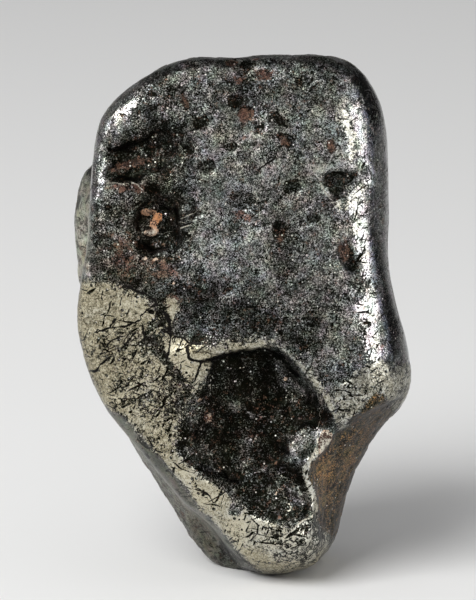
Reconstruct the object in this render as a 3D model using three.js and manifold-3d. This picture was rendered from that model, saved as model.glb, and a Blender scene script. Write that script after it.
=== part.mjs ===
// A josephinite nugget: one water-worn lump of natural nickel-iron, standing on a small worn
// facet at its narrow end. Its broad face leans back, away from -Y. Millimetres, +Z up,
// origin under the middle of the nugget on the surface that it stands on.
import * as THREE from "three";
import { mergeVertices } from "three/addons/utils/BufferGeometryUtils.js";
import { ImprovedNoise } from "three/addons/math/ImprovedNoise.js";
import Module from "manifold-3d";

// Driving dimensions
const nuggetHeight = 36.0; // tip to crown, along the broad face
const faceReach = 6.0; // from the middle plane out to the broad face
const backReach = 8.0; // from the middle plane out to the back
const leanDeg = 12; // how far the broad face leans back from upright
const footRise = 1.0; // how much of the tip the worn facet takes off
const waves = [ // unevenness worn into every side: height and wavelength
  { height: 0.34, length: 5.2 },
  { height: 0.13, length: 2.3 },
];
const waveStart = new THREE.Vector3(7.3, 2.1, 4.7); // where in the waves the nugget lies
const calmFace = { share: 0.4, from: -3.0, to: 4.0 }; // waves left on the broad face, and over what w

// Mesh
const sphere = { // geodesic sphere that is wrapped on the form, then split in four
  detail: 10,
  size: new THREE.Vector3(11.5, 18.0, 7.0),
  middle: new THREE.Vector3(0, 18.5, -0.8),
};
const coarseSteps = 150; // passes that even out the triangles before the split, and after it
const fineSteps = 24;
const keptPlace = 0.4; // share of its own place that a point keeps in each pass
const probe = 0.02; // step over which the form's slope is measured
const longestPush = 1.5;
const leastSlope = 0.05;
const mergeDistance = 1e-5;
const outlineEntries = 720; // bearings at which the outline's radius is kept
const bearingStep = 0.03; // radians over which the outline's slope is measured
const ground = { side: 60, depth: 20 }; // block that cuts the foot flat

// The form is described in its own frame: u to the right, v up the broad face from the tip,
// and w out of the broad face, in millimetres on a nugget drawn drawnHeight tall.
const drawnHeight = 36.0;
const middle = new THREE.Vector2(0.2, 19.0);

// Outline of the nugget as seen square to its broad face, clockwise from the left shoulder.
const outlinePoints = [
  [-9.4, 32.1], [-8.45, 33.3], [-7.0, 34.45], [-4.7, 35.45], [-2.2, 35.75], [-0.1, 35.75],
  [2.0, 36.0], [4.1, 36.05], [6.2, 35.95], [7.3, 35.6], [8.4, 34.75], [9.25, 33.4],
  [9.8, 31.8], [10.05, 29.2], [10.12, 26.0], [10.1, 23.2], [10.25, 21.0], [10.7, 18.9],
  [11.15, 17.0], [11.6, 15.0], [11.65, 13.6], [11.35, 12.4], [10.75, 11.4], [9.8, 10.4],
  [8.95, 9.2], [8.3, 8.0], [7.7, 6.5], [7.25, 5.0], [6.95, 3.6], [6.5, 2.3],
  [5.5, 1.0], [3.9, 0.1], [2.1, -0.25], [0.7, 0.1], [-0.6, 1.3], [-2.0, 3.2],
  [-3.7, 5.0], [-5.4, 6.85], [-6.9, 8.6], [-8.4, 10.4], [-9.8, 12.4], [-10.7, 14.6],
  [-11.1, 16.8], [-11.15, 18.8], [-10.85, 20.8], [-10.5, 23.2], [-10.3, 26.0], [-10.22, 28.6],
  [-9.95, 30.6],
];

// How far the broad face rolls over into the side wall, by the direction from the middle.
const faceRoll = [
  [0, 3.6], [30, 4.4], [55, 4.6], [75, 2.0], [95, 1.5], [120, 1.9], [135, 2.2], [150, 1.2],
  [170, 0.9], [195, 1.3], [225, 1.5], [250, 1.6], [275, 3.0], [290, 2.6], [305, 2.2], [330, 3.6],
];
const backRoll = [
  [0, 6.5], [60, 7.0], [95, 6.2], [130, 6.6], [170, 5.2], [215, 4.6], [245, 3.4], [275, 2.4],
  [310, 3.6],
];

// Where the broad face and the back fall away. Past its start each fall deepens with the square
// of the distance times bend; the one to the flank also has a slope and a power of its own.
const faceFalls = {
  flank: { perU: 0.62, perV: 0.5, start: 5.918, slope: 0.2, bend: 0.055, power: 1.5 },
  tip: { start: 5.0, bend: 0.055 },
  right: { start: 6.0, bend: 0.03 },
};
const backFalls = {
  head: { start: 23.0, bend: 0.014 },
  tip: { start: 14.0, bend: 0.006 },
  sides: { start: 0.5, bend: 0.016 },
};

// Swells (positive rise) and dents (negative rise) on the broad face. size is the half-length
// and half-width, turn is in degrees from the u axis, and a larger flat makes a flatter floor
// with steeper sides.
const faceRelief = [
  { name: "crown", at: [1.5, 24.0], size: [7.5, 10.5], turn: 0, rise: 0.55, flat: 1 },
  { name: "mid trough", at: [3.6, 24.0], size: [1.1, 5.5], turn: -4, rise: -0.22, flat: 1 },
  { name: "hollow", at: [1.2, 10.8], size: [4.3, 4.6], turn: 0, rise: -1.35, flat: 2.2 },
  { name: "hollow throat", at: [2.3, 13.2], size: [2.5, 1.8], turn: -32, rise: -0.75, flat: 1.5 },
  { name: "hollow bed", at: [-0.4, 9.6], size: [2.2, 2.0], turn: 20, rise: -0.35, flat: 1.3 },
  { name: "hollow shelf", at: [4.5, 8.4], size: [1.3, 1.5], turn: 30, rise: 0.6, flat: 1.6 },
  { name: "lower hollow", at: [2.6, 5.9], size: [2.7, 1.6], turn: -14, rise: -0.6, flat: 1.4 },
  { name: "lip", at: [-2.0, 15.6], size: [3.2, 0.75], turn: 12, rise: 0.45, flat: 1.3 },
  { name: "left cheek", at: [-8.2, 16.2], size: [2.6, 5.0], turn: 12, rise: 0.35, flat: 1 },
  { name: "side rib", at: [-3.7, 7.3], size: [4.6, 1.0], turn: -46, rise: 0.45, flat: 1.2 },
  { name: "tip pad", at: [2.9, 2.6], size: [2.9, 1.6], turn: 8, rise: 0.5, flat: 1.2 },
  { name: "shoulder slot", at: [-6.9, 29.0], size: [2.4, 1.05], turn: 14, rise: -0.75, flat: 1.5 },
  { name: "socket", at: [-5.8, 24.0], size: [1.6, 1.9], turn: 0, rise: -1.05, flat: 1.5 },
  { name: "ledge", at: [-8.2, 26.5], size: [1.9, 0.8], turn: 4, rise: 0.25, flat: 1.2 },
  { name: "crown notch", at: [0.3, 33.0], size: [2.6, 1.5], turn: -35, rise: -0.35, flat: 1.3 },
  { name: "crown pit", at: [0.1, 30.9], size: [1.1, 1.0], turn: 0, rise: -0.3, flat: 1.3 },
  { name: "middle pit", at: [-0.1, 24.9], size: [1.1, 1.2], turn: 0, rise: -0.28, flat: 1.2 },
  { name: "right pit", at: [6.5, 27.0], size: [1.15, 0.9], turn: 0, rise: -0.4, flat: 1.6 },
  { name: "low right pit", at: [7.1, 21.6], size: [0.8, 1.4], turn: 18, rise: -0.42, flat: 1.4 },
  { name: "cheek groove", at: [-7.9, 13.6], size: [2.2, 0.8], turn: -40, rise: -0.25, flat: 1.2 },
  { name: "right brow", at: [8.8, 14.0], size: [1.9, 1.9], turn: 0, rise: 0.3, flat: 1 },
];

const backRelief = [
  { name: "spine", at: [2.0, 24.0], size: [3.6, 10.0], turn: -8, rise: 0.9, flat: 1 },
  { name: "broad dish", at: [-3.4, 17.5], size: [4.2, 5.0], turn: 25, rise: -1.3, flat: 1.3 },
  { name: "upper dish", at: [-4.2, 28.6], size: [3.2, 2.6], turn: -20, rise: -0.9, flat: 1.2 },
  { name: "right dish", at: [6.6, 17.2], size: [2.4, 4.2], turn: 6, rise: -0.9, flat: 1.2 },
  { name: "heel", at: [0.8, 4.6], size: [4.4, 3.8], turn: 20, rise: 1.1, flat: 1 },
  { name: "back socket", at: [3.6, 30.4], size: [1.7, 1.3], turn: 30, rise: -0.8, flat: 1.5 },
  { name: "back pit", at: [-1.0, 22.4], size: [1.3, 1.0], turn: -15, rise: -0.6, flat: 1.4 },
  { name: "low back pit", at: [4.0, 10.2], size: [1.6, 1.1], turn: 50, rise: -0.6, flat: 1.4 },
];

// Lumps behind the broad face that stand out past its edge. Each is a rounded block, turned
// in the plane of the face, and blend is how softly it grows out of the body.
const lumps = [
  { name: "left lobe", at: [-6.3, 23.6, -3.6], size: [5.3, 5.7, 4.4], turn: 0, blend: 0.9 },
  { name: "low left flank", at: [-1.7, 7.6, -3.3], size: [8.2, 4.3, 4.4], turn: -57.5, blend: 1.0 },
];

// The scoop in the lower right side, wide at the middle plane and drawn in towards the face.
const scoop = {
  wide: { at: [20.9, 1.1], radius: 14.3 },
  narrow: { at: [10.9, 5.7], radius: 6.3, depth: 5.0 },
  softStart: 0.2, // how gently it starts to draw in
  drawnIn: 1.3, // how far past the narrow circle it goes at most
  blend: 0.55,
};

const turnOf = (degrees) => THREE.MathUtils.degToRad(degrees);
const bearing = (u, v) => Math.atan2(v - middle.y, u - middle.x);

// Radius of the outline round the middle, as a table by bearing, read with interpolation.
function outlineTable(points, entries) {
  const curve = new THREE.CatmullRomCurve3(
    points.map(([u, v]) => new THREE.Vector3(u, v, 0)), true, "centripetal");
  const samples = curve.getPoints(entries * 4)
    .map((p) => ({ angle: bearing(p.x, p.y), radius: Math.hypot(p.x - middle.x, p.y - middle.y) }))
    .sort((a, b) => a.angle - b.angle);
  const table = new Float64Array(entries);
  let next = 0;
  for (let i = 0; i < entries; i++) {
    const angle = -Math.PI + (2 * Math.PI * i) / entries;
    while (next < samples.length && samples[next].angle < angle) {
      next++;
    }
    const after = samples[next % samples.length];
    const before = samples[(next + samples.length - 1) % samples.length];
    const gap = Math.max(after.angle - before.angle, 1e-6);
    const share = THREE.MathUtils.clamp((angle - before.angle) / gap, 0, 1);
    table[i] = before.radius + (after.radius - before.radius) * share;
  }
  return table;
}
const radii = outlineTable(outlinePoints, outlineEntries);

function radiusAt(angle) {
  const count = radii.length;
  const place = (((angle + Math.PI) / (2 * Math.PI)) * count + count) % count;
  const low = Math.floor(place);
  const share = place - low;
  return radii[low % count] * (1 - share) + radii[(low + 1) % count] * share;
}

// A value set at some bearings, in degrees, and eased between them.
function byBearing(stops, angle) {
  const degrees = (THREE.MathUtils.radToDeg(angle) + 360) % 360;
  let index = stops.length - 1;
  while (index > 0 && stops[index][0] > degrees) {
    index--;
  }
  const [from, low] = stops[index];
  const [to, high] = stops[(index + 1) % stops.length];
  const span = (to - from + 360) % 360;
  return low + (high - low) * THREE.MathUtils.smoothstep((degrees - from) / span, 0, 1);
}

function turned(u, v, turn) {
  const c = Math.cos(turnOf(turn));
  const s = Math.sin(turnOf(turn));
  return [c * u + s * v, c * v - s * u];
}

function reliefAt(features, u, v) {
  let sum = 0;
  for (const { at, size, turn, rise, flat } of features) {
    const [along, across] = turned(u - at[0], v - at[1], turn);
    const far = (along / size[0]) ** 2 + (across / size[1]) ** 2;
    sum += rise * Math.exp(-(far ** flat));
  }
  return sum;
}

// Where two walls meet, the edge between them is a fillet of this radius.
function filletedMax(a, b, radius) {
  const over = Math.hypot(Math.max(a + radius, 0), Math.max(b + radius, 0));
  return Math.min(Math.max(a, b), -radius) + over;
}

function blendedMin(a, b, blend) {
  const near = Math.max(blend - Math.abs(a - b), 0) / blend;
  return Math.min(a, b) - (near * near * blend) / 4;
}

// Height of the broad face: nearly flat, turned down towards the left flank and the tip.
function broadFace(u, v) {
  const { flank, tip, right } = faceFalls;
  const pastFlank = Math.max(0, flank.start - flank.perU * u - flank.perV * v);
  const pastTip = Math.max(0, tip.start - v);
  const pastRight = Math.max(0, u - right.start);
  return faceReach - flank.slope * pastFlank - flank.bend * pastFlank ** flank.power
    - tip.bend * pastTip ** 2 - right.bend * pastRight ** 2 + reliefAt(faceRelief, u, v);
}

function backFace(u, v) {
  const { head, tip, sides } = backFalls;
  const pastHead = Math.max(0, v - head.start);
  const pastTip = Math.max(0, tip.start - v);
  const pastMiddle = u - sides.start;
  return backReach - head.bend * pastHead ** 2 - tip.bend * pastTip ** 2
    - sides.bend * pastMiddle ** 2 + reliefAt(backRelief, u, v);
}

const noise = new ImprovedNoise();
function unevenness(u, v, w) {
  let sum = 0;
  for (const { height, length } of waves) {
    const at = new THREE.Vector3(u, v, w).divideScalar(length).add(waveStart);
    sum += height * noise.noise(at.x, at.y, at.z);
  }
  return sum;
}

// Distance to the nugget's surface, roughly: negative inside it.
function form(u, v, w) {
  const angle = bearing(u, v);
  const radius = radiusAt(angle);
  const slope = (radiusAt(angle + bearingStep) - radiusAt(angle - bearingStep))
    / (2 * bearingStep * radius);
  const toWall = Math.hypot(u - middle.x, v - middle.y) - radius;
  const wall = toWall / Math.hypot(1, slope);
  const face = filletedMax(wall, w - broadFace(u, v), byBearing(faceRoll, angle));
  let inside = filletedMax(face, -w - backFace(u, v), byBearing(backRoll, angle));
  for (const { at, size, turn, blend } of lumps) {
    const [along, across] = turned(u - at[0], v - at[1], turn);
    const flat = Math.sqrt((along / size[0]) ** 4 + (across / size[1]) ** 4);
    const reach = Math.sqrt(flat + ((w - at[2]) / size[2]) ** 2);
    inside = blendedMin(inside, (reach - 1) * Math.min(...size), blend);
  }
  const { wide, narrow, softStart, drawnIn } = scoop;
  const towards = w / narrow.depth;
  const share = Math.min((towards + Math.hypot(towards, softStart)) / 2, drawnIn);
  const cutU = THREE.MathUtils.lerp(wide.at[0], narrow.at[0], share);
  const cutV = THREE.MathUtils.lerp(wide.at[1], narrow.at[1], share);
  const cutRadius = THREE.MathUtils.lerp(wide.radius, narrow.radius, share);
  const cut = cutRadius - Math.hypot(u - cutU, v - cutV);
  const onFace = THREE.MathUtils.smoothstep(w, calmFace.from, calmFace.to);
  const waviness = THREE.MathUtils.lerp(1, calmFace.share, onFace);
  return -blendedMin(-inside, -cut, scoop.blend) - waviness * unevenness(u, v, w);
}

// Moves a point straight onto the surface of the form.
function pushOn(p) {
  const here = form(p.x, p.y, p.z);
  const normal = new THREE.Vector3(
    form(p.x + probe, p.y, p.z) - here,
    form(p.x, p.y + probe, p.z) - here,
    form(p.x, p.y, p.z + probe) - here).divideScalar(probe);
  const reach = here / Math.max(normal.lengthSq(), leastSlope);
  return p.addScaledVector(normal, -THREE.MathUtils.clamp(reach, -longestPush, longestPush));
}

// Eases each point towards its neighbours and back onto the form, so the triangles stay even.
function relax(points, faces, steps) {
  const around = points.map(() => new Set());
  for (const [a, b, c] of faces) {
    around[a].add(b).add(c);
    around[b].add(a).add(c);
    around[c].add(a).add(b);
  }
  for (let step = 0; step < steps; step++) {
    const eased = points.map((p, i) => {
      const mean = new THREE.Vector3();
      for (const n of around[i]) {
        mean.add(points[n]);
      }
      return mean.divideScalar(around[i].size).lerp(p, keptPlace);
    });
    points.forEach((p, i) => pushOn(p.copy(eased[i])));
  }
}

// Splits every triangle in four at the middles of its edges.
function split(points, faces) {
  const middles = new Map();
  const between = (a, b) => {
    const key = a < b ? `${a} ${b}` : `${b} ${a}`;
    if (!middles.has(key)) {
      middles.set(key, points.length);
      points.push(points[a].clone().lerp(points[b], 0.5));
    }
    return middles.get(key);
  };
  return faces.flatMap(([a, b, c]) => {
    const [ab, bc, ca] = [between(a, b), between(b, c), between(c, a)];
    return [[a, ab, ca], [ab, b, bc], [ca, bc, c], [ab, bc, ca]];
  });
}

// A geodesic sphere, stretched to about the right size and wrapped on the form.
function wrappedSphere() {
  const start = new THREE.IcosahedronGeometry(1, sphere.detail);
  start.deleteAttribute("normal");
  start.deleteAttribute("uv");
  const merged = mergeVertices(start, mergeDistance);
  const { position } = merged.attributes;
  const points = [];
  for (let i = 0; i < position.count; i++) {
    const point = new THREE.Vector3().fromBufferAttribute(position, i);
    points.push(point.multiply(sphere.size).add(sphere.middle));
  }
  let faces = [];
  for (let i = 0; i < merged.index.count; i += 3) {
    faces.push([0, 1, 2].map((k) => merged.index.getX(i + k)));
  }
  relax(points, faces, coarseSteps);
  faces = split(points, faces);
  relax(points, faces, fineSteps);
  points.forEach((p) => pushOn(pushOn(p)));
  const geometry = new THREE.BufferGeometry().setFromPoints(points);
  geometry.setIndex(faces.flat());
  return geometry;
}

// The nugget leaned back, with its tip cut off flat where it rests.
async function nuggetGeometry() {
  const wasm = await Module();
  wasm.setup();
  const solidOf = (geometry) => {
    const merged = mergeVertices(geometry, mergeDistance);
    return new wasm.Manifold(new wasm.Mesh({
      numProp: 3,
      vertProperties: new Float32Array(merged.attributes.position.array),
      triVerts: new Uint32Array(merged.index.array),
    }));
  };
  const leaned = wrappedSphere();
  const scale = nuggetHeight / drawnHeight;
  leaned.scale(scale, scale, scale);
  leaned.rotateX(Math.PI / 2 - turnOf(leanDeg));
  leaned.computeBoundingBox();
  leaned.translate(0, 0, -leaned.boundingBox.min.z - footRise);
  const block = new THREE.BoxGeometry(ground.side, ground.side, ground.depth);
  block.translate(0, 0, -ground.depth / 2);
  block.deleteAttribute("normal");
  block.deleteAttribute("uv");
  const cut = solidOf(leaned).subtract(solidOf(block)).getMesh();
  const made = new THREE.BufferGeometry();
  const corners = new Float32Array(cut.vertProperties);
  made.setAttribute("position", new THREE.BufferAttribute(corners, 3));
  made.setIndex(new THREE.BufferAttribute(new Uint32Array(cut.triVerts), 1));
  made.computeBoundingBox();
  const { min, max } = made.boundingBox;
  made.translate(-(min.x + max.x) / 2, -(min.y + max.y) / 2, 0);
  made.computeVertexNormals();
  return made;
}

const nickelIron = new THREE.MeshStandardMaterial({
  color: 0x6a6965,
  roughness: 0.32,
  metalness: 0.9,
});
const nugget = new THREE.Mesh(await nuggetGeometry(), nickelIron);
nugget.name = "nugget";

const part = new THREE.Group();
part.add(nugget);
export default part;
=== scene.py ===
import math
import bpy
import bmesh
import numpy as np
from mathutils import Matrix, Vector, noise


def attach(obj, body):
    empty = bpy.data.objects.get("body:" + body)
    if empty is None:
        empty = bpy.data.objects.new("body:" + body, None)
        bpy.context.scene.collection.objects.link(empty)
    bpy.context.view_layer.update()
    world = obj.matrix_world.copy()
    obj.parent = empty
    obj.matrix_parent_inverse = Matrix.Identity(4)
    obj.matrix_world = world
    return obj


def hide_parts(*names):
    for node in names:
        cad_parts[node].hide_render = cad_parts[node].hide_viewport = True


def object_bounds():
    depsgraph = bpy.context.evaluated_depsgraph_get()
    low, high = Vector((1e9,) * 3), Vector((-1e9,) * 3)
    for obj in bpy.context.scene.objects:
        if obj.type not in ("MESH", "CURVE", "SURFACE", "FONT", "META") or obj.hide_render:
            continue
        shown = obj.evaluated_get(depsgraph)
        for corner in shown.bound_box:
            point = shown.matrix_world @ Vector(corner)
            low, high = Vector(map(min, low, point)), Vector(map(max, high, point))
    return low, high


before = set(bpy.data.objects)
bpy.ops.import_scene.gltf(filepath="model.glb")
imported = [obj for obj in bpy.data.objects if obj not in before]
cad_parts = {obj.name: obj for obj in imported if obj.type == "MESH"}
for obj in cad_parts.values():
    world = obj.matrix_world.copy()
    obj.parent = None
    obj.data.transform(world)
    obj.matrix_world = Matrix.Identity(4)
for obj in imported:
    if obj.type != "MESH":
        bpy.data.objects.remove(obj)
cadBox = [list(corner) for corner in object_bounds()]
middle = (Vector(cadBox[0]) + Vector(cadBox[1])) / 2
mm = 0.001

camera = {
    "lens": 250,
    "elevation": 12,
    "tall": 42.06,  # height of the picture at the nugget
    "aim": (-0.20, 0.52),  # right and up from the middle of the nugget
}

studio = {
    "floorColour": (0.80, 0.80, 0.80),
    "floorSize": 3.0,
    "backdrop": (0.62, 0.62, 0.61),
    "roomGlow": 0.40,  # soft light on everything that isn't glossy
    "mirrorFront": 0.36,  # what the metal mirrors from the front, back, left and right
    "mirrorBack": 0.30,
    "mirrorLeft": 0.30,
    "mirrorRight": 0.022,
    "mirrorTop": 0.25,  # share of it left overhead
    "lamps": {
        # azimuth from the front, + to the right; elevation; distance; width, height; watts; colour
        "keyLeft": (-42, 44, 0.60, 0.40, 0.40, 3.9, (1.0, 1.0, 0.99)),
        "windowRight": (65, 14, 0.50, 0.58, 0.42, 2.75, (1.0, 0.99, 0.98)),
        "windowEdge": (100, 14, 0.50, 0.10, 0.42, 0.085, (0.66, 0.74, 1.0)),
        "cornerLeft": (-70, 40, 0.50, 0.08, 0.12, 0.28, (1.0, 1.0, 0.98)),
        "edgeLeft": (-88, 20, 0.50, 0.06, 0.46, 0.60, (0.96, 0.98, 1.0)),
    },
    "onlyMirrored": ("windowRight", "windowEdge", "cornerLeft", "edgeLeft"),
}


def lookAt(place, target):
    return (target - place).to_track_quat("-Z", "Y").to_matrix().to_4x4()


def fromMiddle(azimuth, elevation, distance):
    turn = math.radians(azimuth)
    tilt = math.radians(elevation)
    level = math.cos(tilt)
    way = Vector((math.sin(turn) * level, -math.cos(turn) * level, math.sin(tilt)))
    return middle + way * distance


def makeCamera():
    data = bpy.data.cameras.new("camera")
    data.lens = camera["lens"]
    data.clip_start = 0.01
    distance = camera["tall"] * mm * data.lens / data.sensor_width
    place = fromMiddle(0, camera["elevation"], distance)
    turn = lookAt(place, middle)
    right, up = turn.to_3x3().col[0], turn.to_3x3().col[1]
    offset = (right * camera["aim"][0] + up * camera["aim"][1]) * mm
    made = bpy.data.objects.new("camera", data)
    made.matrix_world = Matrix.Translation(place + offset) @ turn
    bpy.context.collection.objects.link(made)
    bpy.context.scene.camera = made


class Net:
    # short ways to lay out a node tree; sockets that several of its parts read are kept on it by name
    def __init__(self, tree):
        self.nodes = tree.nodes
        self.links = tree.links

    def put(self, socket, value):
        if isinstance(value, bpy.types.NodeSocket):
            self.links.new(value, socket)
        elif socket.type == "RGBA":
            socket.default_value = (*value[:3], 1)
        else:
            socket.default_value = value

    def make(self, kind, inputs, **settings):
        # a node's outputs; each input is a value or another node's socket
        node = self.nodes.new("ShaderNode" + kind)
        for name, value in settings.items():
            setattr(node, name, value)
        for key, value in inputs.items():
            self.put(node.inputs[key], value)
        return node.outputs

    def attribute(self, name):
        return self.make("Attribute", {}, attribute_name=name)["Fac"]

    def math(self, operation, a, b=0.0, clamp=False):
        return self.make("Math", {0: a, 1: b}, operation=operation, use_clamp=clamp)[0]

    def add(self, a, *others):
        for other in others:
            a = self.math("ADD", a, other)
        return a

    def most(self, a, *others):
        for other in others:
            a = self.math("MAXIMUM", a, other)
        return a

    def less(self, a, b):
        return self.math("SUBTRACT", a, b)

    def times(self, a, b):
        return self.math("MULTIPLY", a, b)

    def lack(self, mask):
        return self.less(1.0, mask)

    def around(self, value, gain):
        # a value about 0.5 turned into one about 0
        return self.times(self.less(value, 0.5), gain)

    def mottle(self, *values, **gains):
        # the values together, with a share of each named pattern
        return self.add(*values, *(self.around(getattr(self, name), gain) for name, gain in gains.items()))

    def noise(self, size, detail=2.0, roughness=0.5, distortion=0.0, vector=None):
        inputs = {"Vector": vector or self.coords, "Scale": 1 / (size * mm), "Detail": detail,
                  "Roughness": roughness, "Distortion": distortion}
        return self.make("TexNoise", inputs)["Fac"]

    def cells(self, size, vector=None):
        # distance to the nearest cell's middle, and a value of each cell's own
        cell = self.make("TexVoronoi", {"Vector": vector or self.coords, "Scale": 1 / (size * mm)})
        return cell["Distance"], cell["Color"]

    def drift(self, start, size, gain):
        # a place or a colour with noise of its own added to each of its three parts
        cloud = self.make("TexNoise", {"Vector": self.coords, "Scale": 1 / (size * mm)})["Color"]
        inputs = {0: cloud, 1: (gain,) * 3, 2: start}
        return self.make("VectorMath", inputs, operation="MULTIPLY_ADD")[0]

    def warped(self, size, reach):
        # the place shifted by up to twice the reach, in lumps of the given size
        return self.drift(self.coords, size, 2 * reach * mm)

    def strokes(self, turn, length, width):
        # noise drawn out along one direction of the broad face
        inputs = {"Vector": self.coords, "Rotation": (0, math.radians(turn), 0),
                  "Scale": (length, length, width)}
        return self.noise(1.0, 1, 0.5, 0.3, self.make("Mapping", inputs, vector_type="TEXTURE")[0])

    def offLine(self, value):
        # how far a noise is from its middle, which it crosses along curling lines
        return self.math("ABSOLUTE", self.around(value, 1.0))

    def curls(self, size, width):
        # thin curling lines: 1 along them, 0 away from them
        line = self.offLine(self.noise(size, 1.0, 0.5, 0.9))
        return self.lack(self.step(line, 0.3 * width, width))

    def step(self, value, low, high):
        inputs = {"Value": value, "From Min": low, "From Max": high}
        return self.make("MapRange", inputs, interpolation_type="SMOOTHSTEP")["Result"]

    def ramp(self, value, stops):
        node = self.nodes.new("ShaderNodeValToRGB")
        line = node.color_ramp
        while len(line.elements) < len(stops):
            line.elements.new(0.5)
        for element, (position, colour) in zip(line.elements, stops):
            element.position = position
            element.color = (*colour, 1)
        self.put(node.inputs[0], value)
        return node.outputs["Color"]

    def mixColour(self, share, a, b, blend="MIX"):
        # 6 and 7 are the colour sockets A and B, and output 2 is the colour
        return self.make("Mix", {"Factor": share, 6: a, 7: b}, data_type="RGBA", blend_type=blend)[2]

    def tinted(self, colour, tint, share=1.0):
        return self.mixColour(share, colour, tint, "MULTIPLY")

    def mix(self, share, a, b):
        return self.make("Mix", {"Factor": share, "A": a, "B": b})["Result"]


def makeStudio():
    bpy.ops.mesh.primitive_plane_add(size=studio["floorSize"])
    floor = bpy.context.object
    floor.name = "floor"
    paper = bpy.data.materials.new("floorPaper")
    paper.use_nodes = True
    shader = paper.node_tree.nodes["Principled BSDF"]
    shader.inputs["Base Color"].default_value = (*studio["floorColour"], 1)
    shader.inputs["Roughness"].default_value = 0.9
    shader.inputs["Specular IOR Level"].default_value = 0.1
    floor.data.materials.append(paper)
    for name, values in studio["lamps"].items():
        azimuth, elevation, distance, width, height, watts, colour = values
        data = bpy.data.lights.new(name, "AREA")
        data.shape = "RECTANGLE"
        data.size, data.size_y = width, height
        data.energy = watts
        data.color = colour
        lamp = bpy.data.objects.new(name, data)
        place = fromMiddle(azimuth, elevation, distance)
        lamp.matrix_world = Matrix.Translation(place) @ lookAt(place, middle)
        lamp.visible_camera = False
        lamp.visible_diffuse = name not in studio["onlyMirrored"]
        bpy.context.collection.objects.link(lamp)
    makeRoom()


def makeRoom():
    world = bpy.data.worlds.new("room")
    bpy.context.scene.world = world
    world.use_nodes = True
    world.node_tree.nodes.clear()
    net = Net(world.node_tree)
    rays = net.make("LightPath", {})
    # what the metal mirrors: pale to the front, left and straight behind, dark to the right
    x, y, z = net.make("SeparateXYZ", {0: net.make("TexCoord", {})["Generated"]})
    level = net.math("SQRT", net.add(net.times(x, x), net.times(y, y)))
    ahead = net.math("DIVIDE", y, net.most(level, 0.001))
    mirrored = net.mix(net.step(x, -0.5, 0.25), studio["mirrorLeft"], studio["mirrorRight"])
    mirrored = net.mix(net.step(ahead, -0.40, -0.88), mirrored, studio["mirrorFront"])
    mirrored = net.mix(net.step(ahead, 0.90, 0.985), mirrored, studio["mirrorBack"])
    over = net.step(z, 0.35, 0.9)
    mirrored = net.times(mirrored, net.mix(over, 1.0, studio["mirrorTop"]))
    glow = net.mixColour(rays["Is Glossy Ray"], (studio["roomGlow"],) * 3, mirrored)
    glow = net.mixColour(rays["Is Camera Ray"], glow, studio["backdrop"])
    net.make("OutputWorld", {"Surface": net.make("Background", {"Color": glow})[0]})
    bpy.context.scene.view_settings.view_transform = "Standard"


nugget = {
    "lean": 12,  # degrees that the broad face leans back
    "rise": 0.48,  # mm from the middle of the nugget down to v = 0 on the broad face
    "voxel": 0.178,  # fineness of the mesh that is sculpted, mm
    "smooth": 7,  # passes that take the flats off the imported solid
    "footKept": 0.5,  # height above the foot that sculpting leaves alone, mm
    "pits": 420,  # small pits scattered all over
    "pitSize": (0.20, 0.70),  # half-width of the smallest, and what the largest adds, mm
    "pitDeep": 0.05,  # mm
    "stainedPits": 0.08,  # share of them that hold rust
    "hollowDeep": 0.30,  # drop of the black hollow below its rim, mm
    "lumpHigh": 0.04,  # height of the lumps and low terraces all over, mm
    "seed": 5,
}

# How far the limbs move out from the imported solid, in mm: height v and distance
limbs = {
    "right": [
        (-17, 0), (-13.5, 0.42), (-9, 0.52), (-6.6, 0.56), (-5, 0.30), (-3.4, 0.10), (-1.5, 0.22),
        (2, 0.16), (6, 0.19), (9, 0.30), (13, 0.30), (16, 0.20)],
    "left": [(-15, 0), (10, 0.06), (13.6, 0), (15.2, -0.26), (16.6, -0.42), (18, -0.30)],
}

# The crest between the broad face and the flank at its lower left: u to the right, v up the face
crest = [(-8.3, -6.8), (-7.4, -7.6), (-6.3, -9), (-5, -10.3), (-3.9, -11.8), (-2.9, -13.2),
         (-1.7, -14.4), (-0.9, -15.4), (0, -16.7), (1, -17.6)]

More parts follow.
